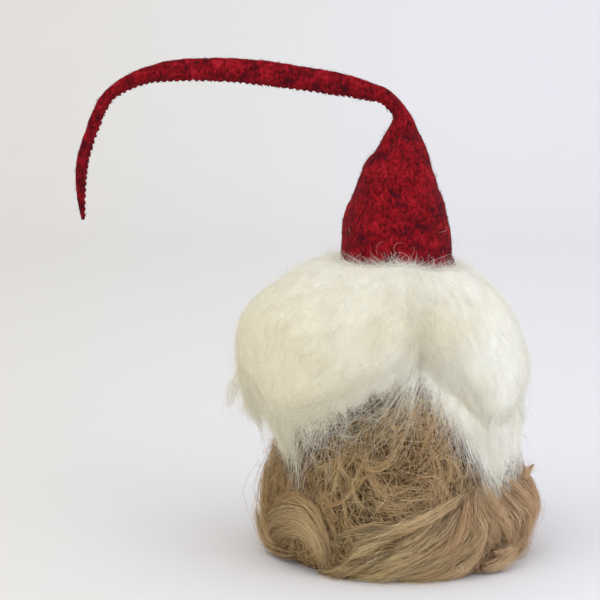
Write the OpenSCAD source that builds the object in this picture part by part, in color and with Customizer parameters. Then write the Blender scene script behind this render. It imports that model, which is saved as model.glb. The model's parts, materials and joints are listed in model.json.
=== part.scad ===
// Tomte gnome figurine: a fleece-wrapped, stuffed body with a wool mane and a
// felt hat whose long tail is held up by a bendable wire.
// Millimetres. The origin is the middle of the sole's underside, +Z is up, the
// figure faces -Y and the hat's tail runs towards -X.

/* [Body] */
// Diameter of the round felt sole
sole_d = 116; // [104:1:124]
// Thickness of the felt sole
sole_t = 3; // [2:0.5:5]
// Largest radius of the stuffed sack
sack_r = 46; // [40:1:48]
// Height of the sack's crown, inside the hat
sack_h = 158; // [152:1:162]
// Thickness of the sack's linen
linen_t = 1.2; // [0.8:0.1:2]
// Largest radius of the fleece wrapped round the sack
fleece_r = 63; // [60:1:66]

/* [Ballast] */
// Radius of the pouch of pebbles
pouch_r = 41; // [30:1:42]
// Height of the pouch
pouch_h = 14; // [12:1:18]
// Radius of one pebble
pebble_r = 4.4; // [3:0.2:4.6]

/* [Skirt locks] */
// Number of fleece locks on each side of the foot
lock_count = 10; // [8:2:10]
// How far round the foot a lock at the side sweeps towards the front, in degrees
lock_sweep = 50; // [36:1:50]
// Half the width of a lock at its thickest
lock_half = 4.6; // [3:0.2:5]

/* [Mane] */
// Height at which the mane meets the hat's brim
mane_top = 147; // [145:1:149]
// Radius of the yarn that ties the mane on
tie_r = 1.2; // [0.8:0.1:1.6]

/* [Hat] */
// Outer radius of the hat's brim
brim_r = 28.5; // [27:0.5:30]
// Height of the brim's lower edge above the table
brim_z = 144; // [143.5:0.5:146]
// Thickness of the hat's felt
felt_t = 3; // [2:0.5:3.5]
// Height of the crook, where the tail leaves the cone
crook_z = 226; // [222:1:230]
// Radius of the wire inside the tail
wire_r = 1; // [0.8:0.1:1.2]
// Half the thickness of the tail's two layers of felt
tail_half_t = 3; // [2.5:0.1:3.5]

/* [Stitches] */
// Radius of the wool thread
thread_r = 0.45; // [0.4:0.05:0.55]
// Distance from one stitch to the next
stitch_pitch = 3.2; // [3:0.1:4]

/* [Hidden] */

$fn = 64;
air = 0.35;              // space between two soft pieces that only touch
red = "#a8141f";
dark_red = "#7d0f18";
cream = "#e9e3cc";
fawn = "#a5835c";
dark_fawn = "#8a6a48";
linen = "#cdbf9f";

// Outlines of the three nested bodies of revolution, as [height, radius].
sack_outline = [
    [0, sack_r - 2], [26, sack_r], [70, sack_r - 3], [100, sack_r - 10],
    [125, sack_r - 19], [142, sack_r - 24], [152, sack_r - 31], [sack_h, 0.01]
];
fleece_outline = [
    [0, fleece_r - 4], [12, fleece_r - 1], [26, fleece_r], [48, fleece_r - 2],
    [70, fleece_r - 6], [92, fleece_r - 13], [110, fleece_r - 22], [124, fleece_r - 32]
];
hat_outline = [
    [brim_z, brim_r], [brim_z + 14, brim_r - 1], [brim_z + 25, brim_r - 3],
    [brim_z + 36, brim_r - 6.5], [brim_z + 47, brim_r - 10.5],
    [brim_z + 57, brim_r - 15], [brim_z + 66, brim_r - 20]
];
fleece_top = 124;
wrap_floor = sole_t + air;
hat_top = brim_z + 66;

// The tail's centre line, as [x, z], and half its height at the same points.
tail_line = [
    [1, crook_z], [-12, crook_z + 6], [-32, crook_z + 11], [-58, crook_z + 15],
    [-84, crook_z + 17.5], [-108, crook_z + 17.5], [-128, crook_z + 14],
    [-144, crook_z + 4], [-152, crook_z - 12], [-157, crook_z - 28],
    [-158, crook_z - 42], [-157, crook_z - 56]
];
tail_half_h = [4, 4.2, 5.6, 6, 5.8, 5.2, 3.8, 3, 3, 2.9, 2.4, 1];
crook = 0;               // where the tail bends, as places along tail_line
mid_bend = 4;
tip_bend = 7;
bend_gap = 3.4;          // felt left open each side of a bend
ball_r = wire_r + 0.5;   // the wire's knuckle at a bend

// Mane locks: [first angle, last angle, radius, height of the widest place, hem height].
mane_front_left_locks = [[-101, -81, 67, 112, 92], [-123, -101.4, 71, 104, 76], [-147, -123.4, 76, 98, 60]];
mane_front_right_locks = [[-79, -62, 65, 112, 94], [-61.6, -40, 66, 104, 72]];
mane_left_locks = [[-172, -147.4, 80, 102, 70], [-196, -172.4, 81, 106, 72], [-219, -196.4, 76, 104, 68]];
mane_right_locks = [[-39.6, -14, 66, 98, 58], [-13.6, 12, 66, 98, 56], [12.4, 38, 66, 100, 62]];
mane_back_left_locks = [[90.2, 115, 68, 104, 66], [115.4, 140.6, 72, 104, 62]];
mane_back_right_locks = [[38.4, 64, 66, 102, 60], [64.4, 89.8, 67, 104, 64]];

// Straight-line reading of an outline at a height.
function radius_at(outline, z) = lookup(z, outline);

// Points of an outline between two heights, evenly spaced, as [radius, height].
function side(outline, low, high, steps, extra = 0) =
    [for (i = [0 : steps]) let (z = low + (high - low) * i / steps) [radius_at(outline, z) + extra, z]];

function reversed(list) = [for (i = [len(list) - 1 : -1 : 0]) list[i]];

// A smooth curve through the points, at place u, counted in points.
function curve_at(points, u) =
    let (
        last = len(points) - 1,
        i = max(0, min(floor(u), last - 1)),
        t = u - i,
        a = points[max(i - 1, 0)], b = points[i], c = points[i + 1], d = points[min(i + 2, last)]
    )
    0.5 * (2 * b + (c - a) * t + (2 * a - 5 * b + 4 * c - d) * t * t + (3 * b - a - 3 * c + d) * t * t * t);

// The tail's centre as a point in space, and its direction, at place u.
function tail_at(u) = let (p = curve_at(tail_line, u)) [p[0], 0, p[1]];
function tail_direction(u) =
    let (d = tail_at(min(u + 0.02, len(tail_line) - 1)) - tail_at(max(u - 0.02, 0))) d / norm(d);

// The place along the tail that is so many millimetres from place u.
function tail_place(u, distance) =
    let (speed = norm(tail_at(u + 0.1) - tail_at(max(u - 0.1, 0))) / (u < 0.1 ? 0.1 + u : 0.2)) u + distance / speed;

// A closed tube through rings of points, all rings with the same number of points.
module skin(rings) {
    sides = len(rings[0]);
    last = len(rings) - 1;
    polyhedron(
        points = [for (ring = rings) each ring],
        faces = [
            [for (k = [0 : sides - 1]) k],
            for (r = [0 : last - 1], k = [0 : sides - 1])
                let (a = r * sides + k, b = r * sides + (k + 1) % sides)
                    each [[a, a + sides, b + sides], [a, b + sides, b]],
            [for (k = [sides - 1 : -1 : 0]) last * sides + k]
        ]
    );
}

// An oval ring round a centre, across two directions.
function oval(centre, across, along, half_a, half_b, sides) =
    [for (k = [0 : sides - 1]) let (w = 360 * k / sides) centre + across * half_a * cos(w) + along * half_b * sin(w)];

// A stretch of the tail between two places, with a given half height and half thickness.
module tail_stretch(first, last, steps, sides, scale_h = 1, plain_r = 0) {
    skin([
        for (i = [0 : steps])
            let (
                u = first + (last - first) * i / steps,
                d = tail_direction(u),
                up = [d[2], 0, -d[0]],
                h = plain_r > 0 ? plain_r : curve_at(tail_half_h, u) * scale_h,
                t = plain_r > 0 ? plain_r : min(tail_half_t, h)
            )
            oval(tail_at(u), up, [0, 1, 0], h, t, sides)
    ]);
}

// Two layers of felt sewn together along the edge, with the wire between them.
module tail_felt(first, last, steps, wire_last) {
    difference() {
        tail_stretch(first, last, steps, 20);
        tail_stretch(first - 0.3, wire_last, 2 * steps, 12, plain_r = wire_r + 0.05);
    }
}

// Overcast stitches: loops of thread over the lower edge of the tail's felt, clear of the wire.
module tail_stitches(first, last) {
    length = norm(tail_at(last) - tail_at(first));
    count = floor(length / stitch_pitch);
    proud = 0.6;
    clear = 0.25;
    largest = 1.5;
    for (i = [0 : count]) {
        u = first + (last - first) * i / count;
        d = tail_direction(u);
        h = curve_at(tail_half_h, u);
        loop_r = min(largest, max((h + proud - wire_r - clear) / 2 - thread_r, thread_r + 0.05));
        translate(tail_at(u) + [-d[2], 0, d[0]] * (h + proud - loop_r - thread_r))
            rotate([0, -atan2(d[2], d[0]) - 14, 0])
                rotate([90, 0, 90])
                    rotate_extrude($fn = 24)
                        translate([loop_r, 0])
                            circle(r = thread_r, $fn = 16);
    }
}

// A stretch of the bendable wire.
module tail_wire(first, last, steps) {
    tail_stretch(first, last, steps, 12, plain_r = wire_r);
}

// A ring of upright stitches round the axis, each a small closed loop.
module stitch_ring(radius, z, loop_r, count, tilt = 0) {
    for (i = [0 : count - 1])
        rotate([0, 0, 360 * i / count])
            translate([radius, 0, z])
                rotate([90, 0, tilt])
                    rotate_extrude($fn = 24)
                        translate([loop_r, 0])
                            circle(r = thread_r, $fn = 16);
}

module sole() {
    color(dark_fawn)
        rotate_extrude()
            polygon([
                [0, 0], [sole_d / 2 - 1, 0], [sole_d / 2, 1],
                [sole_d / 2, sole_t - 0.6], [sole_d / 2 - 0.6, sole_t], [0, sole_t]
            ]);
}

module sole_stitches() {
    color(linen)
        stitch_ring(sole_d / 2 - 3, sole_t + 0.2, 1.6, 48);
}

module ballast_pouch() {
    floor_z = wrap_floor + linen_t + 2 * air;
    color(linen)
        difference() {
            translate([0, 0, floor_z])
                cylinder(r = pouch_r, h = pouch_h);
            translate([0, 0, floor_z + linen_t])
                cylinder(r = pouch_r - linen_t, h = pouch_h - 2 * linen_t);
        }
}

// Pebbles in rings on the pouch's floor.
module ballast_pebbles() {
    floor_z = wrap_floor + 2 * linen_t + 3 * air + pebble_r;
    pitch = 2 * pebble_r + air;
    color("gray")
        for (ring = [0 : floor((pouch_r - linen_t - pebble_r) / pitch)])
            for (i = [0 : max(6 * ring, 1) - 1])
                rotate([0, 0, 360 * i / max(6 * ring, 1)])
                    translate([ring * pitch, 0, floor_z])
                        sphere(r = pebble_r, $fn = 24);
}

module sack() {
    shoulder = 20;
    low = wrap_floor;
    color(linen)
        rotate_extrude()
            polygon(concat(
                [[0, low]],
                side(sack_outline, low, sack_h, shoulder),
                [[0.01, sack_h - linen_t]],
                reversed(side(sack_outline, low + linen_t, sack_h - 4, shoulder, -linen_t)),
                [[0, low + linen_t]]
            ));
}

module stuffing() {
    low = wrap_floor + linen_t + pouch_h + 3 * air;
    high = sack_h - 14;
    color(cream)
        rotate_extrude()
            polygon(concat([[0, low]], side(sack_outline, low, high, 20, -linen_t - 3 * air), [[0, high]]));
}

// The fleece goes once round the sack.
module fleece_wrap() {
    steps = 14;
    color(fawn)
        rotate_extrude()
            polygon(concat(
                side(fleece_outline, wrap_floor, fleece_top, steps),
                reversed(side(sack_outline, wrap_floor, fleece_top, steps, air))
            ));
}

// The wrap's two edges are sewn together down the middle of the back, below the mane.
module wrap_seam_stitches() {
    pitch = 7;
    loop_r = 2.2;
    color(linen)
        for (z = [12 : pitch : 56])
            translate([0, radius_at(fleece_outline, z), z])
                rotate([0, 0, 20])
                    rotate_extrude($fn = 24)
                        translate([loop_r, 0])
                            circle(r = thread_r, $fn = 16);
}

// One lock lies against the wrap, sweeps round the foot and tapers to its tip.
module skirt_lock(angle, sweep) {
    steps = 9;
    sides = 10;
    top = 46;
    tip = 3.2;
    tip_half = 0.8;
    fall = 38;
    skin([
        for (i = [0 : steps])
            let (
                t = i / steps,
                a = angle + sweep * t,
                z = tip + (top - tip) * pow(1 - t, 1.25),
                swell = 0.35 + 0.65 * sin(180 * pow(t, 0.7)),
                half = t == 1 ? tip_half : max(1.4, lock_half * swell),
                out = [cos(a), sin(a), 0],
                r = radius_at(fleece_outline, z) + half + air,
                lean = fall + (90 - fall) * (1 - abs(sweep) / lock_sweep),
                slope = [-sin(a) * cos(lean) * sign(sweep), cos(a) * cos(lean) * sign(sweep), -sin(lean)],
                wide = cross(out, slope)
            )
            oval(out * r + [0, 0, max(z, half + 0.4)], out, wide, half, half, sides)
    ]);
}

// Half of one side's locks. They fan out from the middle of the back, and those
// at the sides all sweep round to the front. side_sign is 1 on the left, -1 on the right.
module skirt_locks(side_sign, first, last) {
    first_root = 7;
    last_root = 174 - lock_sweep;
    fan = 80;
    color(dark_fawn)
        for (i = [first : last]) {
            root = first_root + (last_root - first_root) * i / (lock_count - 1);
            share = min(root / fan, 1);
            skirt_lock(90 + side_sign * root, side_sign * lock_sweep * share * share * (3 - 2 * share));
        }
}

// One lock of the mane: it leaves the tie, passes under the brim and hangs over the fleece.
function mane_outline(radius, wide_z, hem) =
    let (
        under_brim = brim_z - air,
        neck = radius_at(sack_outline, under_brim) + air,
        hem_r = radius_at(fleece_outline, hem) + air
    )
    concat(
        [[neck, under_brim], [brim_r + air, under_brim]],
        [for (i = [0 : 8]) let (w = 90 - 90 * i / 8) [34 + (radius - 34) * cos(w), wide_z + (mane_top - wide_z) * sin(w)]],
        [[radius - 1, wide_z - (wide_z - hem) * 0.4], [(radius + hem_r) / 2 + 3, hem + 1.5], [hem_r + 2, hem]],
        side(fleece_outline, hem, fleece_top, 8, air),
        side(sack_outline, fleece_top + 1, under_brim - 1, 4, air)
    );

// One section of the mane, with room for the tie.
module mane(locks) {
    color(cream)
        difference() {
            for (m = locks)
                rotate([0, 0, m[0]])
                    rotate_extrude(angle = m[1] - m[0])
                        polygon(mane_outline(m[2], m[3], m[4]));
            tie_ring(tie_r + air);
        }
}

module tie_ring(r) {
    z = 134;
    rotate_extrude()
        translate([radius_at(sack_outline, z) + tie_r + 2 * air, z])
            circle(r = r, $fn = 24);
}

module mane_tie() {
    color(dark_fawn)
        tie_ring(tie_r);
}

module hat_cone() {
    steps = 12;
    inner_top = hat_top - 6;
    color(red)
        rotate_extrude()
            polygon(concat(
                side(hat_outline, brim_z, hat_top, steps),
                [[wire_r + 0.1, hat_top], [wire_r + 0.1, inner_top]],
                reversed(side(hat_outline, brim_z, inner_top, steps, -felt_t))
            ));
}

module hat_stuffing() {
    low = sack_h + 1;
    high = hat_top - 8;
    color(cream)
        rotate_extrude()
            polygon(concat(
                [[wire_r + 0.1, low]],
                side(hat_outline, low, high, 8, -felt_t - air),
                [[wire_r + 0.1, high]]
            ));
}

// Blind stitches on the inside of the brim, through the top of the mane.
module hat_stitches() {
    color(dark_red)
        stitch_ring(brim_r - felt_t - 0.3, brim_z + 1.2, 1.9, 26, 90);
}

// Small stitches that close the cone's seam, up its left front side.
module hat_seam_stitches() {
    seam_angle = -152;
    color(dark_red)
        for (z = [brim_z + 8 : stitch_pitch * 2 : hat_top - 8])
            rotate([0, 0, seam_angle])
                translate([radius_at(hat_outline, z) - 0.6, 0, z])
                    rotate([0, 22, 0])
                        rotate_extrude($fn = 24)
                            translate([1.5, 0])
                                circle(r = thread_r, $fn = 16);
}

// A straight wire with a foot coil in the hat's stuffing and its top just below the crook.
module hat_wire() {
    low = sack_h + 4;
    color("silver") {
        translate([0, 0, low])
            cylinder(r = wire_r, h = hat_top - 0.4 - low);
        translate([0, 0, low])
            rotate_extrude()
                translate([8, 0])
                    circle(r = wire_r, $fn = 24);
        translate([0, 0, low])
            rotate([0, 90, 0])
                cylinder(r = wire_r * 0.8, h = 8);
    }
}

// The top of the cone turns with the wire: a ring of felt between the cone and the bend.
module crook_felt() {
    low = hat_top + air;
    high = crook_z - bend_gap - 1.2;
    color(red)
        difference() {
            rotate_extrude()
                polygon([
                    [0, low], [brim_r - 20, low],
                    [5.8, (low + high) / 2], [4.2, high], [0, high]
                ]);
            translate([0, 0, low - 1])
                cylinder(r = wire_r + 0.05, h = high - low + 2);
        }
}

module crook_wire() {
    low = hat_top + 0.2;
    color("silver") {
        translate([0, 0, low])
            cylinder(r = wire_r, h = crook_z - low);
        translate(tail_at(crook) - [1, 0, 0])
            sphere(r = ball_r, $fn = 32);
    }
}

module tail_inner_felt() {
    color(red)
        tail_felt(tail_place(crook, bend_gap + 1), tail_place(mid_bend, -bend_gap), 14, mid_bend);
}

module tail_inner_wire() {
    color("silver") {
        tail_wire(tail_place(crook, ball_r + 0.6), tail_place(mid_bend, -ball_r + 0.2), 20);
        translate(tail_at(mid_bend))
            sphere(r = ball_r, $fn = 32);
    }
}

module tail_inner_stitches() {
    color(dark_red)
        tail_stitches(tail_place(crook, 9), tail_place(mid_bend, -bend_gap - 2));
}

module tail_middle_felt() {
    color(red)
        tail_felt(tail_place(mid_bend, bend_gap), tail_place(tip_bend, -bend_gap), 12, tip_bend);
}

module tail_middle_wire() {
    color("silver") {
        tail_wire(tail_place(mid_bend, ball_r + 0.4), tail_place(tip_bend, -ball_r + 0.2), 16);
        translate(tail_at(tip_bend))
            sphere(r = ball_r, $fn = 32);
    }
}

module tail_middle_stitches() {
    color(dark_red)
        tail_stitches(tail_place(mid_bend, bend_gap + 2), tail_place(tip_bend, -bend_gap - 2));
}

module tail_tip_felt() {
    color(red)
        tail_felt(tail_place(tip_bend, bend_gap), len(tail_line) - 1, 14, len(tail_line) - 2);
}

module tail_tip_wire() {
    color("silver")
        tail_wire(tail_place(tip_bend, ball_r + 0.4), len(tail_line) - 2.1, 14);
}

module tail_tip_stitches() {
    color(dark_red)
        tail_stitches(tail_place(tip_bend, bend_gap + 2), len(tail_line) - 2.6);
}

sole();
sole_stitches();
ballast_pouch();
ballast_pebbles();
sack();
stuffing();
fleece_wrap();
wrap_seam_stitches();
skirt_locks(1, 0, lock_count / 2 - 1);  // locks_left_back
skirt_locks(1, lock_count / 2, lock_count - 1);  // locks_left_front
skirt_locks(-1, 0, lock_count / 2 - 1);  // locks_right_back
skirt_locks(-1, lock_count / 2, lock_count - 1);  // locks_right_front
mane_tie();
mane(mane_front_left_locks);  // mane_front_left
mane(mane_front_right_locks);  // mane_front_right
mane(mane_left_locks);  // mane_left
mane(mane_right_locks);  // mane_right
mane(mane_back_left_locks);  // mane_back_left
mane(mane_back_right_locks);  // mane_back_right
hat_cone();
hat_stuffing();
hat_stitches();
hat_seam_stitches();
hat_wire();
crook_felt();
crook_wire();
tail_inner_felt();
tail_inner_wire();
tail_inner_stitches();
tail_middle_felt();
tail_middle_wire();
tail_middle_stitches();
tail_tip_felt();
tail_tip_wire();
tail_tip_stitches();
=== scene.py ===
import itertools
import json
import math

import bpy
import numpy as np
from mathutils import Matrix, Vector


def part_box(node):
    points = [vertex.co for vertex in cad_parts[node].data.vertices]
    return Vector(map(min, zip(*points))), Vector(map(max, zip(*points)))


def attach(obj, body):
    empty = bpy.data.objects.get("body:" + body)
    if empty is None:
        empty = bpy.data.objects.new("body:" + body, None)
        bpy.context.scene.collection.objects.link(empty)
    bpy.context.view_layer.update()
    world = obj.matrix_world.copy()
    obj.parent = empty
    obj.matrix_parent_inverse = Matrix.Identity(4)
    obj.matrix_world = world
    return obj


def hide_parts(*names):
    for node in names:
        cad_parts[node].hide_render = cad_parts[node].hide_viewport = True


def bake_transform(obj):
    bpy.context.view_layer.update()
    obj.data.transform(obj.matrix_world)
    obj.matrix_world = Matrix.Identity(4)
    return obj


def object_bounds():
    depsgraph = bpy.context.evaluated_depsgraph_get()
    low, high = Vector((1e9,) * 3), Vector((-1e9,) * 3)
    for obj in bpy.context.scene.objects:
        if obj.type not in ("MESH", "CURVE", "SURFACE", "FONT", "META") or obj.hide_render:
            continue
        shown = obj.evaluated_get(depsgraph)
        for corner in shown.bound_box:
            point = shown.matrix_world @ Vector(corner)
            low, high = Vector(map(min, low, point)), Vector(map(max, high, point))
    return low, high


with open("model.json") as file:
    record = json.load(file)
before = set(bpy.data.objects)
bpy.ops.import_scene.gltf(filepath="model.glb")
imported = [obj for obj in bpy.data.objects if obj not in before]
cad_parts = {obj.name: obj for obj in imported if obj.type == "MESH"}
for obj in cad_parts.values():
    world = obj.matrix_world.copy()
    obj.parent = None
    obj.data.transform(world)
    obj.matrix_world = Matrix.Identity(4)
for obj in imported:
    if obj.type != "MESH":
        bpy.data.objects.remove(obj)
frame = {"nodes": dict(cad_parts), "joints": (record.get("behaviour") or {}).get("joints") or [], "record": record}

CAD_BOX = [list(corner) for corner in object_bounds()]
MM = 0.001
random = np.random.default_rng(20)

# ---------------------------------------------------------------- places, from the frame
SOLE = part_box("sole")
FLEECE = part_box("fleece_wrap")
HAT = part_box("hat_cone")
JOINT = {j["name"]: Vector(j["pos_m"]) for j in frame["joints"]}
CROOK = JOINT["tail_lift"]
FLEECE_R = FLEECE[1].x
BRIM_Z = HAT[0].z
BRIM_R = HAT[1].x
CROOK_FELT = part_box("crook_felt")


# ---------------------------------------------------------------- small maths
LATTICE = np.random.default_rng(3).uniform(-1, 1, (64, 64, 64))


def smooth_noise(points, size, seed=0):
    """Noise from -1 to 1 at each point, with features about `size` metres across."""
    place = np.asarray(points, float) / size + 1000 + 19.7 * seed
    cell = np.floor(place).astype(np.int64)
    part = place - cell
    part = part * part * (3 - 2 * part)
    total = np.zeros(place.shape[:-1])
    for corner in itertools.product((0, 1), repeat=3):
        weight = np.prod(np.where(corner, part, 1 - part), axis=-1)
        at = (cell + corner) % 64
        total += weight * LATTICE[at[..., 0], at[..., 1], at[..., 2]]
    return total


def ease(value, low, high):
    """0 below low, 1 above high, smooth between."""
    share = np.clip((value - low) / (high - low), 0, 1)
    return share * share * (3 - 2 * share)


def columns_of(table):
    """The columns of a table of numbers, each as an array."""
    return (np.array(column, float) for column in zip(*table))


def round_table(table, degrees):
    """Reads a table of (angle, value) that closes on itself, smoothly, at angles in degrees."""
    angles, values = columns_of(sorted(table))
    angles = np.concatenate([angles[-2:] - 360, angles, angles[:3] + 360])
    values = np.concatenate([values[-2:], values, values[:3]])
    degrees = (np.asarray(degrees) - angles[2]) % 360 + angles[2]
    i = np.clip(np.searchsorted(angles, degrees, side="right") - 1, 1, len(angles) - 3)
    t = (degrees - angles[i]) / (angles[i + 1] - angles[i])
    t = t * t * (3 - 2 * t)
    return values[i] * (1 - t) + values[i + 1] * t


def curve_through(points, count):
    """A smooth curve of count points through a short list of points."""
    points = np.asarray(points, float)
    places = np.linspace(0, len(points) - 1, count)
    i = np.clip(np.floor(places).astype(int), 0, len(points) - 2)
    t = (places - i)[:, None]
    a = points[np.maximum(i - 1, 0)]
    b = points[i]
    c = points[i + 1]
    d = points[np.minimum(i + 2, len(points) - 1)]
    return 0.5 * (2 * b + (c - a) * t + (2 * a - 5 * b + 4 * c - d) * t**2 + (3 * b - a - 3 * c + d) * t**3)


def unit(vectors):
    return vectors / np.maximum(np.linalg.norm(vectors, axis=-1, keepdims=True), 1e-12)


def polar(angle, radius, z):
    """Points from an angle in radians, a radius and a height."""
    return np.stack(np.broadcast_arrays(radius * np.cos(angle), radius * np.sin(angle), z), -1)


def all_round(count):
    """Random angles in degrees, all the way round."""
    return random.uniform(-180, 180, count)


def varied(tone, spread, count):
    """A tone from 0 to 1 for each of count fibres, about the tone given."""
    return np.clip(tone + spread * random.normal(size=count), 0, 1)


# ---------------------------------------------------------------- meshes
def mesh_object(name, points, faces, shades=None):
    """A smooth-shaded object from points and an array of faces that all have as many corners, or a list of
    such arrays. Shades are named values, one for each point."""
    faces = faces if isinstance(faces, list) else [faces]
    mesh = bpy.data.meshes.new(name)
    points = np.asarray(points, np.float32).reshape(-1, 3)
    mesh.vertices.add(len(points))
    mesh.vertices.foreach_set("co", points.ravel())
    corners = np.concatenate([f.ravel() for f in faces]).astype(np.int32)
    sizes = np.concatenate([np.full(len(f), f.shape[1]) for f in faces])
    mesh.loops.add(len(corners))
    mesh.loops.foreach_set("vertex_index", corners)
    mesh.polygons.add(len(sizes))
    mesh.polygons.foreach_set("loop_start", (np.cumsum(sizes) - sizes).astype(np.int32))
    mesh.update(calc_edges=True)
    mesh.validate()
    mesh.shade_smooth()
    for label, values in (shades or {}).items():
        layer = mesh.attributes.new(label, "FLOAT", "POINT")
        layer.data.foreach_set("value", np.asarray(values, np.float32).ravel())
    obj = bpy.data.objects.new(name, mesh)
    bpy.context.scene.collection.objects.link(obj)
    return obj


def grid_faces(rows, columns, wrap_rows=False, wrap_columns=True):
    """Quads of a grid of rows x columns points."""
    r = np.arange(rows if wrap_rows else rows - 1)
    c = np.arange(columns if wrap_columns else columns - 1)
    r, c = (a.ravel() for a in np.meshgrid(r, c, indexing="ij"))
    r2, c2 = (r + 1) % rows, (c + 1) % columns
    return np.stack([r * columns + c, r * columns + c2, r2 * columns + c2, r2 * columns + c], 1)


SIDES = 3


def fibre_object(name, paths, radii, tones):
    """Thin closed three-sided tubes along paths (fibre, step, xyz), tapered to radii (fibre, step)."""
    count, steps = paths.shape[:2]
    along = unit(np.gradient(paths, axis=1))
    across = unit(np.cross(along[:, 0], random.normal(size=(count, 3))))
    rings = np.empty((count, steps, SIDES, 3), np.float32)
    turn = 2 * np.pi * np.arange(SIDES) / SIDES
    for s in range(steps):
        across = unit(across - (across * along[:, s]).sum(-1, keepdims=True) * along[:, s])
        other = np.cross(along[:, s], across)
        around = across[:, None] * np.cos(turn)[None, :, None] + other[:, None] * np.sin(turn)[None, :, None]
        rings[:, s] = paths[:, s, None] + around * radii[:, s, None, None]
    one = grid_faces(steps, SIDES)
    cap = np.array([[2, 1, 0], [(steps - 1) * SIDES, (steps - 1) * SIDES + 1, (steps - 1) * SIDES + 2]])
    first = (np.arange(count) * steps * SIDES)[:, None, None]
    quads = (one[None] + first).reshape(-1, 4)
    caps = (cap[None] + first).reshape(-1, 3)
    tone = np.repeat(tones, steps * SIDES)
    length = np.tile(np.repeat(np.linspace(0, 1, steps), SIDES), count)
    return mesh_object(name, rings, [quads, caps], {"tone": tone, "along": length})


def taper(count, steps, radius, root=0.7, tip=0.25, vary=0.25):
    """Radii that swell a little from the root and thin towards the tip."""
    t = np.linspace(0, 1, steps)
    shape = root + (1 - root) * np.sin(np.minimum(t * 1.6, 1) * np.pi / 2)
    shape = shape * (1 - (1 - tip) * ease(t, 0.45, 1))
    size = radius * (1 + vary * random.uniform(-1, 1, (count, 1)))
    return size * shape[None]


def coat(name, paths, radii, tones, material, body="figure", limit=3600):
    """Fibres as one or more pieces, each small enough to handle, all with one material."""
    pieces = []
    groups = max(1, math.ceil(len(paths) / limit))
    for g in range(groups):
        take = slice(g, None, groups)
        label = name if groups == 1 else f"{name}_{g + 1:02d}"
        piece = fibre_object(label, paths[take], radii[take], tones[take])
        piece.data.materials.append(material)
        pieces.append(piece)
    if body:
        for piece in pieces:
            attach(piece, body)
    return pieces


def wool_coat(name, paths, radius, limit=3600):
    """Fibres of white wool, each with a tone of its own."""
    count, steps = paths.shape[:2]
    radii = taper(count, steps, radius)
    coat(name, paths, radii, random.uniform(0, 1, count), wool_fibres, limit=limit)


# ---------------------------------------------------------------- materials
class Nodes:
    """A material's node tree, with short ways to add and join nodes."""

    def __init__(self, name):
        self.material = bpy.data.materials.new(name)
        self.material.use_nodes = True
        self.tree = self.material.node_tree
        self.shader = self.tree.nodes["Principled BSDF"]

    def add(self, kind, **values):
        node = self.tree.nodes.new("ShaderNode" + kind)
        for key, value in values.items():
            setattr(node, key, value)
        return node

    def join(self, source, target):
        self.tree.links.new(source, target)

    def feed(self, value, socket):
        """Joins an output to a socket, or sets the socket to a colour or a number."""
        if isinstance(value, bpy.types.NodeSocket):
            self.join(value, socket)
        elif isinstance(value, tuple):
            socket.default_value = (*value, 1)
        else:
            socket.default_value = value

    def place(self):
        if not hasattr(self, "coordinates"):
            self.coordinates = self.add("TexCoord").outputs["Object"]
        return self.coordinates

    def noise(self, size, detail=3.0, rough=0.5, stretch=None):
        """Noise whose features are about size metres across; stretch squeezes it along x, y, z."""
        node = self.add("TexNoise")
        node.inputs["Scale"].default_value = 1 / size
        node.inputs["Detail"].default_value = detail
        node.inputs["Roughness"].default_value = rough
        source = self.place()
        if stretch:
            mapping = self.add("Mapping")
            mapping.inputs["Scale"].default_value = stretch
            self.join(source, mapping.inputs["Vector"])
            source = mapping.outputs["Vector"]
        self.join(source, node.inputs["Vector"])
        return node.outputs["Fac"]

    def ramp(self, factor, stops):
        node = self.add("ValToRGB")
        elements = node.color_ramp.elements
        while len(elements) < len(stops):
            elements.new(0.5)
        for element, (at, colour) in zip(elements, stops):
            element.position = at
            element.color = (*colour, 1)
        self.join(factor, node.inputs["Fac"])
        return node.outputs["Color"]

    def mix(self, factor, a, b):
        """Colour a, or b as factor goes to 1; the sockets are the node's ones for colours."""
        node = self.add("Mix", data_type="RGBA")
        for value, socket in ((factor, node.inputs[0]), (a, node.inputs[6]), (b, node.inputs[7])):
            self.feed(value, socket)
        return node.outputs[2]

    def maths(self, operation, *values, clamp=False):
        node = self.add("Math", operation=operation, use_clamp=clamp)
        for value, socket in zip(values, node.inputs):
            self.feed(value, socket)
        return node.outputs[0]

    def rise(self, axis, slope, start):
        """A factor that grows by slope for each metre along an axis, from start at the origin, and is kept
        from 0 to 1."""
        split = self.add("SeparateXYZ")
        self.join(self.place(), split.inputs[0])
        return self.maths("MULTIPLY_ADD", split.outputs[axis], slope, start, clamp=True)

    def attribute(self, label):
        return self.add("Attribute", attribute_name=label).outputs["Fac"]

    def bump(self, height, strength, distance):
        node = self.add("Bump")
        node.inputs["Strength"].default_value = strength
        node.inputs["Distance"].default_value = distance
        self.join(height, node.inputs["Height"])
        self.join(node.outputs["Normal"], self.shader.inputs["Normal"])

    def finish(self, colour, average, **constants):
        """Joins the colour, and sets the shader's own numbers; average stands in where no pattern is read."""
        self.shader.inputs["Base Color"].default_value = (*average, 1)
        self.join(colour, self.shader.inputs["Base Color"])
        for key, value in constants.items():
            socket = self.shader.inputs[key.replace("_", " ")]
            if isinstance(value, tuple):
                value = (*value, 1)[:len(socket.default_value)]
            socket.default_value = value
        return self.material


def paint(red, green, blue):
    """A colour as a screen shows it, 0 to 255, as the shader wants it."""
    part = np.array([red, green, blue]) / 255
    linear = np.where(part <= 0.04045, part / 12.92, ((part + 0.055) / 1.055) ** 2.4)
    return tuple(float(v) for v in linear)


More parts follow.
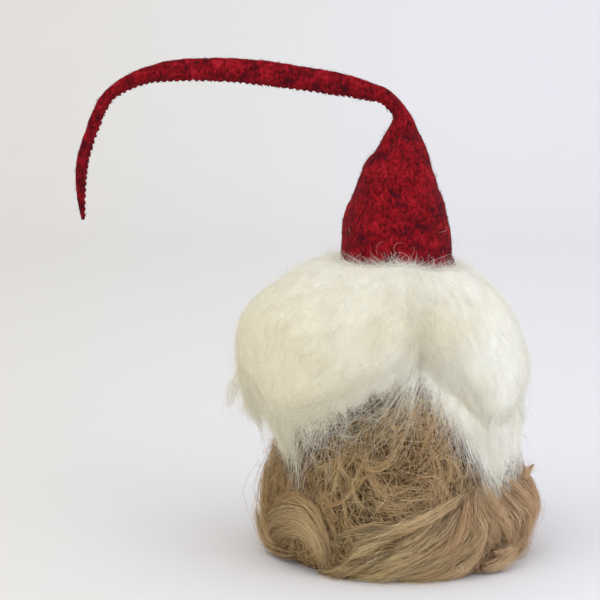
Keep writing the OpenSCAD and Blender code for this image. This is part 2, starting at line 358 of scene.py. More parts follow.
WHITE = paint(233, 232, 226)
CREAM = paint(223, 219, 202)
STRAW = paint(215, 206, 174)
PALE = paint(244, 220, 168)
BLOND = paint(230, 192, 130)
FAWN = paint(204, 158, 98)
TAN = paint(166, 120, 68)
BROWN = paint(106, 76, 46)
DEEP_BROWN = paint(52, 35, 20)
ROSY = paint(220, 180, 148)
GOLDEN = paint(170, 122, 66)
RED = paint(134, 15, 25)
CRIMSON = paint(98, 11, 20)
MAROON = paint(46, 11, 22)


def wool_material(name, inside, glow):
    """Cream wool, yellower in patches and towards the left, and whiter to the right and on top: the whiter top is
    a painted highlight, and the tints to the left and right are partly the wool's own colour and partly painted
    light. The light that wanders inside it is worked out for the solid body of wool; single fibres glow faintly
    instead, a painted glow, and the solid body glows more faintly still."""
    n = Nodes(name)
    patches = n.ramp(n.noise(0.038, 2, 0.55), [(0.36, WHITE), (0.55, CREAM), (0.75, STRAW)])
    # Yellower towards the left and whiter to the right: partly the wool's own colour, partly painted light, warm
    # on the left and cool on the right.
    yellow = n.mix(n.maths("MULTIPLY", n.rise("X", -11, 0.3), 0.8), patches, STRAW)
    right = n.mix(n.maths("MULTIPLY", n.rise("X", 20, -0.3), 0.7), yellow, WHITE)
    # Whiter on top: a painted highlight.
    top = n.mix(n.maths("MULTIPLY", n.rise("Z", 30, -3.6), 0.7), right, WHITE)
    tone = n.ramp(n.attribute("tone"), [(0.0, CREAM), (0.5, WHITE), (1.0, WHITE)])
    colour = n.mix(0.25, top, tone)
    # The emission is a painted glow, standing in for light scattered inside the wool.
    return n.finish(colour, CREAM, Roughness=0.95, Specular_IOR_Level=0.05,
                    Sheen_Weight=0.1, Sheen_Roughness=0.5, Subsurface_Weight=inside,
                    Subsurface_Scale=0.004, Subsurface_Radius=(1.0, 0.9, 0.75), Emission_Color=CREAM,
                    Emission_Strength=glow)


def fleece_material():
    """Fawn fleece fibres: each has its own tone, darker at its root, painted shade deep in the coat, and paler at
    its tip; more golden on the left of the figure and rosier on the right."""
    n = Nodes("fleece_fibres")
    tone = n.ramp(
        n.attribute("tone"),
        [(0.0, DEEP_BROWN), (0.22, BROWN), (0.45, TAN), (0.65, FAWN), (0.85, BLOND), (1.0, PALE)],
    )
    # Darker towards the root: painted shade deep in the coat; paler towards the tip.
    root = n.mix(0.3, tone, DEEP_BROWN)
    length = n.mix(n.attribute("along"), root, n.mix(0.5, tone, PALE))
    left = n.mix(n.maths("MULTIPLY", n.rise("X", -14, -0.2), 0.5), length, GOLDEN)
    colour = n.mix(n.maths("MULTIPLY", n.rise("X", 10, 0.2), 0.65), left, ROSY)
    return n.finish(colour, FAWN, Roughness=0.5, Specular_IOR_Level=0.3)


def grained_material(name, grain, stops, average, bump, **constants):
    """A material whose colour and fine bumps both follow one noise."""
    n = Nodes(name)
    fine = n.noise(*grain)
    n.bump(fine, *bump)
    return n.finish(n.ramp(fine, stops), average, **constants)


def fleece_core_material():
    # Dark browns: painted shade, the dark that shows between the fleece's fibres.
    stops = [(0.35, DEEP_BROWN), (0.7, BROWN)]
    return grained_material("fleece_underwool_shade", (0.0016, 4, 0.65, (1, 1, 0.35)), stops, BROWN, (0.6, 0.001),
                            Roughness=0.95, Specular_IOR_Level=0.1)


def felt_material():
    """Heathered red felt: two scales of mottling over a fine fibrous bump."""
    n = Nodes("red_felt")
    blotch = n.noise(0.009, 3, 0.6)
    heather = n.noise(0.0016, 4, 0.75, (1, 1, 0.7))
    grain = n.noise(0.0005, 2, 0.6)
    mixed = n.maths("ADD", n.maths("MULTIPLY", blotch, 0.38), n.maths("MULTIPLY", heather, 0.62))
    colour = n.ramp(mixed, [(0.38, MAROON), (0.47, CRIMSON), (0.54, RED), (0.62, paint(160, 28, 40))])
    n.bump(n.maths("ADD", heather, grain), 0.5, 0.0006)
    return n.finish(colour, CRIMSON, Roughness=0.95, Sheen_Weight=0.12, Sheen_Roughness=0.4,
                    Sheen_Tint=paint(230, 120, 124), Specular_IOR_Level=0.08)


def fuzz_material():
    n = Nodes("red_fuzz")
    stops = [(0.0, MAROON), (0.4, CRIMSON), (0.85, RED), (1.0, paint(176, 60, 66))]
    colour = n.ramp(n.attribute("tone"), stops)
    colour = n.mix(n.maths("MULTIPLY", n.noise(0.009, 3, 0.6), 0.5), colour, MAROON)
    return n.finish(colour, CRIMSON, Roughness=0.85, Specular_IOR_Level=0.1)


def thread_material(name, light, dark):
    """Thread, mottled light and dark."""
    stops = [(0.35, dark), (0.65, light)]
    return grained_material(name, (0.0006, 2, 0.6), stops, light, (0.4, 0.0003),
                            Roughness=0.85, Specular_IOR_Level=0.2)


def woven_material(name, light, dark):
    """Plain linen: warp and weft as two sets of waves."""
    n = Nodes(name)
    waves = []
    for direction in ("X", "Z"):
        wave = n.add("TexWave", bands_direction=direction)
        wave.inputs["Scale"].default_value = 260
        wave.inputs["Distortion"].default_value = 0.6
        n.join(n.place(), wave.inputs["Vector"])
        waves.append(wave.outputs["Fac"])
    weave = n.maths("MULTIPLY", *waves)
    n.bump(weave, 0.5, 0.0004)
    return n.finish(n.ramp(weave, [(0.1, dark), (0.6, light)]), light, Roughness=0.9)


def stone_material():
    stops = [(0.35, paint(90, 88, 84)), (0.65, paint(168, 164, 156))]
    return grained_material("pebbles", (0.003, 4, 0.7), stops, paint(130, 126, 120), (0.2, 0.0004),
                            Roughness=0.6)


def wire_material():
    stops = [(0.3, paint(120, 118, 114)), (0.7, paint(178, 176, 172))]
    return grained_material("annealed_wire", (0.0012, 3, 0.6, (1, 1, 0.1)), stops, paint(150, 148, 144),
                            (0.1, 0.0001), Roughness=0.38, Metallic=1.0)


def sole_material():
    stops = [(0.3, DEEP_BROWN), (0.7, BROWN)]
    return grained_material("sole_felt", (0.0012, 4, 0.7), stops, BROWN, (0.5, 0.0006), Roughness=0.95)


wool = wool_material("white_wool", 0.6, 0.04)
wool_fibres = wool_material("white_wool_fibres", 0.0, 0.16)
fleece = fleece_material()
underwool_shade = fleece_core_material()
felt = felt_material()
fuzz = fuzz_material()
linen = woven_material("linen", paint(206, 190, 156), paint(150, 134, 104))
CAD_LOOKS = {
    "sole_felt": sole_material(),
    "linen": linen,
    "pebble": stone_material(),
    "stuffing_wool": wool,
    "fawn_fleece": underwool_shade,
    "white_wool": wool,
    "red_felt": felt,
    "red_thread": thread_material("red_thread", paint(116, 13, 24), paint(74, 10, 20)),
    "yarn": thread_material("fawn_yarn", TAN, BROWN),
    "linen_thread": thread_material("linen_thread", paint(205, 190, 155), paint(150, 132, 100)),
    "steel_wire": wire_material(),
}
for part in frame["record"]["subparts"]:
    node = frame["nodes"][part["node"]]
    node.data.materials.clear()
    node.data.materials.append(CAD_LOOKS[part["material_slot"]])


# ---------------------------------------------------------------- camera, light and floor
def aim(obj, target):
    obj.rotation_euler = (Vector(target) - obj.location).to_track_quat("-Z", "Y").to_euler()


def camera():
    low, high = (Vector(corner) for corner in CAD_BOX)
    middle = (low + high) / 2
    target = Vector((middle.x - 5 * MM, 0, middle.z + 3.5 * MM))
    distance, rise, field = 1.4, math.radians(11), 0.3
    data = bpy.data.cameras.new("camera")
    data.sensor_width = 36
    data.lens = 36 * distance / field
    obj = bpy.data.objects.new("camera", data)
    bpy.context.scene.collection.objects.link(obj)
    obj.location = target + Vector((0, -math.cos(rise), math.sin(rise))) * distance
    aim(obj, target)
    bpy.context.scene.camera = obj


def soft_light(name, place, size, power, colour=(1, 1, 1)):
    data = bpy.data.lights.new(name, "AREA")
    data.shape = "DISK"
    data.size = size
    data.energy = power
    data.color = colour
    obj = bpy.data.objects.new(name, data)
    bpy.context.scene.collection.objects.link(obj)
    obj.location = place
    aim(obj, (0, 0, 0.1))


def backdrop():
    """A pale paper sweep: a floor that curves up behind the figure. A camera beyond it sees only paper. The paper
    is painted darker and warmer to the left and paler and cooler to the right: painted light.
    """
    deep, curve, tall, half = 0.9, 0.5, 1.6, 2.2
    turns = np.linspace(0, math.pi / 2, 24)
    bend = [(deep + curve * math.sin(a), curve - curve * math.cos(a)) for a in turns]
    outline = [(-half, 0.0)] + bend + [(deep + curve, tall)]
    across = np.linspace(-half, half, 9)
    points = [[x, y, z] for y, z in outline for x in across]
    faces = grid_faces(len(outline), len(across), wrap_columns=False)
    obj = mesh_object("backdrop", points, faces)
    n = Nodes("paper")
    # Painted light: the paper is darker and warmer to the left, paler and cooler to the right.
    sides = n.mix(n.rise("X", 2.6, 0.75), paint(217, 213, 205), paint(223, 222, 225))
    colour = n.mix(n.maths("MULTIPLY", n.noise(0.05, 2), 0.2), sides, paint(227, 226, 225))
    obj.data.materials.append(n.finish(colour, paint(218, 216, 213), Roughness=0.9, Specular_IOR_Level=0.1))


def light():
    world = bpy.data.worlds.new("studio")
    world.use_nodes = True
    world.node_tree.nodes["Background"].inputs["Color"].default_value = (0.94, 0.96, 1.0, 1)
    world.node_tree.nodes["Background"].inputs["Strength"].default_value = 1.12
    bpy.context.scene.world = world
    soft_light("key", (-0.7, -0.9, 1.5), 1.3, 5.6, (1.0, 0.975, 0.94))
    soft_light("fill", (1.1, -1.0, 0.8), 1.2, 4.6, (0.92, 0.95, 1.0))
    bpy.context.scene.view_settings.view_transform = "Standard"


camera()
backdrop()
light()


# ---------------------------------------------------------------- the fleece round the body
# Radius of the fleece at heights up the body, in mm, as the CAD wrap has it.
FLEECE_SIDE = [(0, 59), (12, 62), (26, 63), (48, 61), (70, 57), (92, 50), (110, 41), (124, 31), (140, 22)]


def fleece_radius(z):
    heights, radii = zip(*FLEECE_SIDE)
    return np.interp(z / MM, heights, radii) * MM * FLEECE_R / (63 * MM)


def on_fleece(angle, z, out):
    """Points at an angle in degrees, a height, and a distance outside the fleece, in metres.
    The wrap is drawn in a little on the right, under the mane."""
    a = np.radians(angle)
    waist = 6 * MM * ease(np.cos(a), 0.2, 0.9) * np.exp(-(((z - 52 * MM) / (20 * MM)) ** 2))
    r = fleece_radius(z) - waist + out
    return polar(a, r, z)


def round_from(middle, angle, z):
    """How far an angle on the fleece lies round from a middle one, in metres."""
    return np.radians((angle - middle + 180) % 360 - 180) * fleece_radius(z)


def body_core():
    """Matted underwool: a closed lumpy skin that shows dark between the fibres; its dark colour is painted shade.
    """
    rows, columns = 110, 260
    z = np.linspace(SOLE[1].z + 0.4 * MM, 130 * MM, rows)[:, None] + np.zeros((rows, columns))
    angle = np.linspace(0, 360, columns, endpoint=False)[None] + np.zeros((rows, columns))
    points = on_fleece(angle, z, -2.2 * MM)
    out = 1.6 * MM * smooth_noise(points, 11 * MM, 1) + 0.8 * MM * smooth_noise(points, 4 * MM, 2)
    points = on_fleece(angle, z, out - 2.6 * MM)
    faces = grid_faces(rows, columns)
    lid = np.array([[0, 0, z[0, 0]], [0, 0, z[-1, 0] + 1 * MM]])
    ring = np.arange(columns)
    after = (ring + 1) % columns
    end = rows * columns
    top = (rows - 1) * columns
    fans = np.concatenate([
        np.stack([after, ring, np.full(columns, end)], 1),
        np.stack([top + ring, top + after, np.full(columns, end + 1)], 1),
    ])
    obj = mesh_object("body_underwool_shade", np.concatenate([points.reshape(-1, 3), lid]), [faces, fans])
    obj.data.materials.append(underwool_shade)
    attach(obj, "figure")
    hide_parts("fleece_wrap")


def flow(angle, z):
    """The way the fleece lies, as a heading in radians: 0 is round to the right, -pi/2 is down.
    In front the fibres turn round a whorl; elsewhere they hang and lean a little."""
    whorl_angle, whorl_z, whorl_size = -97, 66 * MM, 30 * MM
    across = round_from(whorl_angle, angle, z)
    up = z - whorl_z
    distance = np.hypot(across, up)
    turn = np.arctan2(up, across) + np.pi / 2
    share = np.exp(-((distance / whorl_size) ** 2))
    lean = 26 * np.sin(np.radians(angle * 3 + 40)) + 18 * np.sin(np.radians(angle * 7))
    hang = np.radians(-90 + lean)
    x = (1 - share) * np.cos(hang) + share * np.cos(turn)
    y = (1 - share) * np.sin(hang) + share * np.sin(turn)
    return np.arctan2(y, x)


# Hollows between the matted curls in front, where the mat lies deeper and its fibres are painted darker as painted
# shade: (angle, height in mm, size in mm).
HOLLOWS = [
    (-101, 72, 7), (-86, 68, 6), (-93, 62, 5), (-72, 58, 6), (-82, 96, 9), (-112, 84, 7), (-124, 72, 7),
    (-134, 60, 6), (-147, 51, 7), (-64, 46, 7),
    (-123, 25, 8), (-111, 31, 6), (-84, 29, 5), (-54, 16, 5), (-88, 6, 7),
]


def hollow(angle, z):
    """From 0 to 1: how deep in a hollow a point of the coat is."""
    depth = np.zeros(np.shape(angle))
    for middle, height, size in HOLLOWS:
        across = round_from(middle, angle, z)
        depth = np.maximum(depth, np.exp(-((across**2 + (z - height * MM) ** 2) / (size * MM) ** 2)))
    other = smooth_noise(on_fleece(angle, z, 0), 10 * MM, 31)
    return np.maximum(depth, ease(other, 0.35, 0.8) * 0.8)


def under_hem(angle, z, over=8 * MM):
    """Which of these places on the body the mane leaves in sight, with a little over."""
    return z < round_table(MANE_HEM, angle) * MM + over


def clear_of_mane(paths):
    """Which fibres (fibre, step, xyz) stay well below the mane's hem all along."""
    angle = np.degrees(np.arctan2(paths[..., 1], paths[..., 0]))
    return under_hem(angle, paths[..., 2], over=-12 * MM).all(axis=1)


def matted_paths(angle, z, steps, stride, lift, wander=0.5, curl=0.9, pull=0.35):
    """Fibres that follow the flow, curl as they go, and weave in and out of the coat."""
    count = len(angle)
    heading = flow(angle, z) + random.normal(0, wander, count)
    bend = random.normal(0, curl, count)
    phase = random.uniform(0, 6.28, count)
    weave = random.uniform(0.5, 1.2, count)
    proud = lift * np.minimum(random.gamma(1.6, 0.6, count), 2.6)
    paths = np.empty((count, steps, 3))
    for s in range(steps):
        t = s / (steps - 1)
        out = proud * np.sin(2.2 * t) + 0.3 * lift * np.sin(phase + s * weave) - 0.9 * MM * (1 - t)
        paths[:, s] = on_fleece(angle, z, out - 2.2 * MM * hollow(angle, z))
        heading += pull * np.sin(flow(angle, z) - heading) + bend * 0.32 + random.normal(0, 0.1, count)
        r = fleece_radius(z)
        angle = angle + np.degrees(stride * np.cos(heading) / r)
        z = np.clip(z + stride * np.sin(heading), 4 * MM, 130 * MM)
    return paths


def bunched(guides, fibres, spread, root=0.5, tip=1.2, steps_apart=0.35):
    """Each guide path (guide, step, xyz) as a bunch of fibres round it, root and tip times spread from it at
    its ends."""
    count, steps = guides.shape[:2]
    away = random.normal(0, spread, (count, fibres, 1, 3))
    drift = np.cumsum(random.normal(0, spread * steps_apart, (count, fibres, steps, 3)), axis=2) * 0.5
    paths = guides[:, None] + away * np.linspace(root, tip, steps)[None, None, :, None] + drift
    paths[..., 2] = np.maximum(paths[..., 2], 0.4 * MM)
    return paths.reshape(count * fibres, steps, 3)


def body_fleece():
    """A dense mat, with hollows; loose bunches of fibres over it; a thin net of bleached hairs; and hairs
    that stand off."""
    dense = 14000
    angle = all_round(dense)
    z = random.uniform(8, 112, dense) * MM
    deep = hollow(angle, z)
    patch = smooth_noise(on_fleece(angle, z, 0), 13 * MM, 5)
    # The mat's fibres are painted darker in the hollows: painted shade.
    tones = np.clip(0.4 + 0.22 * random.normal(size=dense) + 0.36 * patch - 0.4 * deep, 0, 1)
    kept = (random.uniform(0, 1, dense) > 0.6 * deep) & under_hem(angle, z)
    paths = matted_paths(angle[kept], z[kept], 7, 1.9 * MM, 1.6 * MM, 0.7)
    coat("body_mat", paths, taper(len(paths), 7, 0.09 * MM), tones[kept], fleece, limit=5200)
    bunches, each = 640, 9
    angle = all_round(bunches)
    z = random.uniform(20, 112, bunches) * MM
    kept = under_hem(angle, z)
    guides = matted_paths(angle[kept], z[kept], 9, 2.7 * MM, 2.0 * MM, 0.4, 0.8, 0.3)
    paths = bunched(guides, each, 0.75 * MM)
    tones = np.repeat(varied(0.68, 0.22, len(guides)), each)
    tones = varied(tones, 0.1, len(tones))
    free = clear_of_mane(paths)
    coat("body_curls", paths[free], taper(free.sum(), 9, 0.09 * MM), tones[free], fleece)
    net = 4400
    angle = all_round(net)
    z = random.uniform(12, 112, net) * MM
    kept = under_hem(angle, z)
    paths = matted_paths(angle[kept], z[kept], 10, 2.4 * MM, 3.0 * MM, 0.8, 0.9, 0.15)
    paths = paths[clear_of_mane(paths)]
    tones = varied(0.88, 0.12, len(paths))
    coat("body_net", paths, taper(len(paths), 10, 0.07 * MM), tones, fleece, limit=2700)
    halo = 1500
    angle = all_round(halo)
    paths = matted_paths(angle, random.uniform(12, 74, halo) * MM, 8, 1.9 * MM, 4.6 * MM, 1.2, 1.2, 0.05)
    coat("body_halo", paths, taper(halo, 8, 0.045 * MM), random.uniform(0.5, 1, halo), fleece)


# Bleached strands that lie over the mat in front, each as places of (angle, height in mm).
STRANDS = [
    [(-114, 72), (-113, 63), (-107, 58), (-100, 57), (-94, 62), (-89, 72), (-81, 85)],
    [(-108, 60), (-105, 53), (-101, 46), (-96, 41)],
    [(-84, 76), (-77, 66), (-73, 54), (-76, 44), (-82, 37)],
    [(-116, 74), (-118, 64), (-122, 55), (-127, 44)],
    [(-112, 66), (-119, 58), (-131, 52), (-139, 44)],
    [(-138, 62), (-131, 55), (-122, 58)],
    [(-150, 47), (-146, 40), (-137, 37)],
    [(-104, 50), (-96, 46), (-88, 47), (-82, 53)],
    [(-106, 42), (-98, 38), (-88, 39), (-79, 45)],
    [(-99, 80), (-92, 74), (-86, 80)],
    [(-70, 70), (-66, 58), (-69, 47)],
    [(-126, 44), (-124, 36), (-119, 30)],
]


def body_strands():
    half, fibres, steps = 2.6 * MM, 26, 10
    paths, tones = [], []
    for places in STRANDS:
        angle, z = columns_of(places)
        guide = on_fleece(angle, z * MM, 1.6 * MM * np.sin(np.linspace(0.3, 2.8, len(angle))))
        strand, _ = lock_paths(guide, half, fibres, loose=1.1, steps=steps)
        paths.append(strand)
        tones.append(varied(0.8, 0.12, fibres))
    paths = np.concatenate(paths)
    coat("body_strands", paths, taper(len(paths), steps, 0.055 * MM), np.concatenate(tones), fleece)


# ---------------------------------------------------------------- locks round the foot
# Points along a lock's fine guide, and the length of one wave of its crimp.
FINE = 60
CRIMP = 19 * MM


def guide_frame(guide, count):
    """A guide as a curve of count points, with its sideways and outward directions at each."""
    fine = curve_through(guide, count)
    along = unit(np.gradient(fine, axis=0))
    side = unit(np.cross(along, fine * [1, 1, 0.0] + 1e-9))
    return fine, side, np.cross(side, along)


def lock_paths(guide, half, fibres, loose=0.2, flat=0.8, steps=9, frizz=0.1):
    """Fibres in a few strands that wind round a guide and gather to a point at its end,
    and for each a painted shade, from 0 underneath to 1 on top, with a random tone for each strand added."""
    fine, side, out = guide_frame(guide, FINE)
    length = np.linalg.norm(np.diff(fine, axis=0), axis=1).sum()
    strands = 5 + int(1.6 * half / MM)
    strand = random.integers(0, strands, fibres)
    far = 0.95 * np.sqrt(random.uniform(0, 1, strands))[strand] + 0.17 * random.normal(size=fibres)
    way = random.uniform(0, 2 * np.pi, strands)[strand] + 0.5 * random.normal(size=fibres)
    wave = random.uniform(0, 2 * np.pi, strands)[strand]
    first = random.uniform(0, 0.3, fibres)
    last = 1 - 0.35 * random.uniform(0, 1, fibres) ** 2
    t = first[:, None] + (last - first)[:, None] * np.linspace(0, 1, steps)[None]
    place = t * (FINE - 1)
    i = np.clip(place.astype(int), 0, FINE - 2)
    f = (place - i)[..., None]
    centre = fine[i] * (1 - f) + fine[i + 1] * f
    swell = 0.5 + 0.5 * ease(t, 0, 0.25) - 0.9 * ease(t, 0.42, 1.03)
    open_up = 1 + loose * random.exponential(1, fibres)[:, None] * ease(t, 0.3, 1)
    crimp = 0.14 * half * np.sin(2 * np.pi * t * length / CRIMP + wave[:, None])
    turn = way[:, None] + 1.5 * t
    a = half * swell * open_up * far[:, None] * np.cos(turn) + crimp
    b = flat * half * swell * open_up * far[:, None] * np.sin(turn) + 0.5 * crimp
    paths = centre + side[i] * a[..., None] + out[i] * b[..., None]
    paths += np.cumsum(random.normal(0, frizz * MM, paths.shape) * random.gamma(1, 1, (fibres, 1, 1)), axis=1)
    paths[..., 2] = np.maximum(paths[..., 2], 0.3 * MM)
    # Painted shade: darker underneath each lock and lighter on top, plus a random tone for each strand.
    shade = 0.5 + 0.5 * far * np.sin(way + 0.75) + random.normal(0, 0.6, strands)[strand]
    return paths, shade


def lock_core(guide, half):
    """The dense middle of a lock, as rings for one mesh."""
    rings, sides = 26, 12
    fine, side, out = guide_frame(guide, rings)
    t = np.linspace(0, 1, rings)
    swell = (0.5 + 0.5 * ease(t, 0, 0.3) - 0.94 * ease(t, 0.35, 0.9)) * half * 0.5
    turn = np.linspace(0, 2 * np.pi, sides, endpoint=False)
    ring = side[:, None] * np.cos(turn)[None, :, None] + out[:, None] * 0.6 * np.sin(turn)[None, :, None]
    points = fine[:, None] + ring * swell[:, None, None]
    points += unit(ring) * 0.5 * MM * smooth_noise(points, 3 * MM, 9)[..., None]
    points[..., 2] = np.maximum(points[..., 2], 0.2 * MM)
    return points


# Locks that show in front: (half width, distance out, tone, [(angle, height), ...]) in mm and degrees.
# They sweep down from the right and to the left, and gather to points there.
FRONT_LOCKS = [
    (2.6, 5.0, 0.66, [(-60, 43), (-69, 40), (-77, 36), (-86, 31.5), (-95, 29), (-104, 27)]),
    (2.2, 3.0, 0.58, [(-86, 29), (-96, 28), (-108, 27), (-118, 24)]),
    (2.8, 4.2, 0.62, [(-78, 33), (-88, 29), (-99, 24), (-110, 18)]),
    (3.2, 6.0, 0.72, [(-90, 20), (-97, 19), (-104, 16), (-114, 9)]),
    (3.0, 5.0, 0.56, [(-99, 14), (-109, 10), (-119, 5), (-131, 1.5)]),
    (2.8, 5.6, 0.74, [(-70, 34), (-79, 28.5), (-87, 22), (-96, 17)]),
    (3.6, 4.0, 0.66, [(-78, 14), (-90, 10), (-101, 5), (-116, 1.2)]),
    (3.2, 5.0, 0.62, [(-74, 20), (-85, 15.5), (-95, 12.5), (-107, 5)]),
    (3.8, 4.4, 0.68, [(-62, 40), (-69, 33), (-77, 25), (-84, 19), (-94, 15)]),
    (4.4, 4.2, 0.6, [(-57, 42), (-62, 34), (-66, 25), (-74, 16), (-90, 11)]),
    (4.4, 3.6, 0.6, [(-52, 44), (-55, 35), (-53, 26), (-57, 18), (-68, 11)]),
    (3.4, 3.4, 0.55, [(-62, 26), (-66, 18), (-76, 10), (-92, 4)]),
    (4.2, 4.2, 0.62, [(-50, 48), (-48, 36), (-42, 24), (-37, 13)]),
    (4.4, 5.4, 0.66, [(-42, 48), (-36, 36), (-30, 25), (-28, 12)]),
    (4.4, 6.6, 0.66, [(-33, 48), (-24, 36), (-18, 25), (-19, 12)]),
    (4.4, 7.2, 0.62, [(-22, 48), (-13, 35), (-9, 23), (-12, 9)]),
    (4.4, 7.4, 0.6, [(-10, 48), (-3, 34), (1, 21), (-2, 7)]),
    (4.4, 6.6, 0.58, [(3, 50), (9, 34), (12, 20), (10, 5)]),
    (3.4, 3.0, 0.42, [(-46, 18), (-54, 10), (-64, 4), (-76, 1.5)]),
    (3.4, 3.0, 0.42, [(-58, 12), (-68, 7), (-80, 3), (-92, 1.2)]),
    (3.4, 3.0, 0.45, [(-26, 20), (-32, 11), (-40, 4), (-52, 1.5)]),
    (3.6, 3.0, 0.5, [(-8, 20), (-12, 11), (-18, 4), (-28, 1.5)]),
]
# Each is laid twice: a copy lies lower and deeper than the one before, and is painted darker as painted shade.
COPIES = 2

# The big curl on the left, whose fibres lie side by side in arches, from its outermost to its innermost.
ARCH_OUTER = [(-180, 10), (-166, 24), (-150, 33), (-139, 36), (-130, 31), (-125, 20), (-123, 6)]
ARCH_INNER = [(-170, 3), (-158, 11), (-147, 18), (-138, 21), (-131, 18), (-128, 11), (-127, 3)]
ARCHES = 8

# Small locks that stand away: the curled tip on the left, the tuft on the right and the felted blond curl.
STANDING_LOCKS = [
    (2.4, 0.5, [(-146, 6, 2), (-158, 5, 4), (-170, 6, 6), (-178, 12, 8), (-181, 20, 9)]),
    (3.0, 0.72, [(-24, 36, 1), (-15, 39, 4), (-9, 42, 8), (-5, 45, 13)]),
    (3.0, 0.93, [(-52, 5, 4), (-45, 5, 6), (-37, 7, 7), (-28, 11, 6)]),
    (2.2, 0.8, [(-47, 12, 4), (-40, 11, 6), (-34, 12, 6)]),
]

# Locks in each of the three rows behind, and hairs that stray from each lock.
BACK_LOCKS = 16
STRAY = 30


def placed(places, out):
    """A guide through (angle, height) places, a distance outside the fleece; mm in, metres out."""
    angle, z = columns_of(places)
    return on_fleece(angle, z * MM, out * MM * np.sin(np.linspace(0.5, 2.4, len(angle))))


def skirt_guides():
    """Every lock as (guide, half width, tone), all the way round."""
    guides = []
    for half, out, tone, places in FRONT_LOCKS:
        for copy in range(COPIES):
            slip = np.array([random.normal(0, 1.5), -2.5 * copy])
            guide = placed([np.add(p, slip) for p in places], out - 1.6 * copy)
            # The deeper copy is painted darker: painted shade.
            guides.append((guide, 0.88 * half * MM, tone - 0.26 * copy))
    for k in range(ARCHES):
        share = k / (ARCHES - 1)
        places = np.array(ARCH_OUTER) * (1 - share) + np.array(ARCH_INNER) * share
        guides.append((placed(places, 3 + 3 * math.sin(math.pi * share)), 3.3 * MM, 0.42 + 0.3 * share))
    for i in range(BACK_LOCKS):
        root = 18 + i * (158 / (BACK_LOCKS - 1))
        sway = 14 * math.sin(i * 2.1) + (root - 92) * 0.25
        for high, half, tone in ((46, 5.0, 0.6), (32, 4.6, 0.5), (18, 4.0, 0.42)):
            start = high + 4 * math.sin(i * 1.7 + high)
            lean = root + random.normal(0, 3)
            middle = [(lean + 0.3 * sway, start * 0.66), (lean + 0.7 * sway, start * 0.3)]
            places = [(lean, start), *middle, (lean + sway, 2)]
            guides.append((placed(places, 3.4), half * MM, tone))
    for half, tone, places in STANDING_LOCKS:
        angle, z, out = columns_of(places)
        guides.append((on_fleece(angle, z * MM, out * MM), half * MM, tone))
    return guides


def skirt():
    """The locks' fibres, the hairs that stray from them, their dense middles, and short fluff at the foot."""
    paths, tones, stray, cores = [], [], [], []
    for guide, half, tone in skirt_guides():
        fibres = int(30 + 44 * half / MM)
        lock, shade = lock_paths(guide, half, fibres, loose=0.45, frizz=0.2)
        paths.append(lock)
        # The locks' fibres are painted darker underneath and lighter on top: painted shade.
        tones.append(np.clip(tone + 0.06 + 0.14 * random.normal(size=fibres) + 1.3 * (shade - 0.5), 0, 1))
        stray.append(lock_paths(guide, half * 1.4, STRAY, loose=1.2, flat=0.9, steps=8, frizz=0.45)[0])
        cores.append(lock_core(guide, half))
    paths, tones, stray = np.concatenate(paths), np.concatenate(tones), np.concatenate(stray)
    coat("lock_fibres", paths, taper(len(paths), paths.shape[1], 0.09 * MM, vary=0.5), tones, fleece)
    tones = varied(0.78, 0.24, len(stray))
    coat("lock_strays", stray, taper(len(stray), 8, 0.07 * MM), tones, fleece, limit=4600)
    foot = 4200
    angle = all_round(foot)
    z = random.uniform(3, 16, foot) * MM
    paths = matted_paths(angle, z, 6, 1.5 * MM, 3.4 * MM, 0.9, 0.9, 0.1)
    tones = varied(0.42, 0.16, foot)
    coat("foot_fluff", paths, taper(foot, 6, 0.09 * MM), tones, fleece, limit=5400)
    rings, sides = cores[0].shape[:2]
    body = grid_faces(rings, sides)
    cap = np.array([np.arange(sides)[::-1], (rings - 1) * sides + np.arange(sides)])
    size = rings * sides
    faces = np.concatenate([body + size * k for k in range(len(cores))])
    caps = np.concatenate([cap + size * k for k in range(len(cores))])
    obj = mesh_object("lock_cores", np.concatenate([c.reshape(-1, 3) for c in cores]), [faces, caps])
    # The lock cores are coloured dark like the fleece beneath: painted shade inside each lock.
    obj.data.materials.append(underwool_shade)
    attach(obj, "figure")
    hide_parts("locks_left_back", "locks_left_front", "locks_right_back", "locks_right_front")


# ---------------------------------------------------------------- the mane
# Largest radius, hem height, height of the widest place and crown height, in mm, round the head in degrees,
# how quickly the shoulder falls away from the crown, and how far the hem is drawn in, in mm.
MANE_R = [
    (-180, 82), (-150, 79), (-120, 70), (-100, 61), (-79, 52), (-62, 58), (-45, 63), (-30, 66), (0, 66),
    (45, 66), (90, 70), (140, 76),
]
MANE_HEM = [
    (-180, 80), (-166, 78), (-156, 75), (-151, 69), (-147, 61), (-142, 69), (-135, 78), (-115, 92),
    (-101, 99), (-90, 106), (-79, 118), (-71, 110), (-62, 99), (-53, 85), (-45, 70), (-39, 65), (-30, 67),
    (-15, 71), (0, 73), (30, 72), (60, 68), (90, 66), (120, 64), (140, 70), (160, 76),
]
MANE_WIDE = [
    (-180, 104), (-160, 98), (-147, 88), (-135, 87), (-115, 96), (-101, 102), (-90, 109), (-79, 120),
    (-71, 113), (-62, 103), (-53, 89), (-45, 80), (-36, 82), (0, 92), (90, 94),
]
MANE_CROWN = [(-180, 147.5), (-130, 149), (-90, 150.5), (-50, 147), (0, 143), (90, 146)]
MANE_SLUMP = [(-180, 0.95), (-150, 1.1), (-110, 1.35), (-79, 1.5), (-50, 1.35), (0, 1.2), (90, 1.3)]
MANE_DRAWN_IN = [
    (-180, 8), (-160, 5), (-147, 10), (-136, 2), (-115, 0), (-79, 0), (-55, 0), (-35, 9), (-18, 12), (0, 13),
    (30, 10), (90, 3), (150, 6),
]
# Places down the mane, from 0 under the brim to 1 at the hem: the crown, and the widest place. Past the hem
# the wool hangs free, FREE_HANG of it for each unit.
RIM, TUCK = 0.1, 0.65
FREE_HANG = 110 * MM


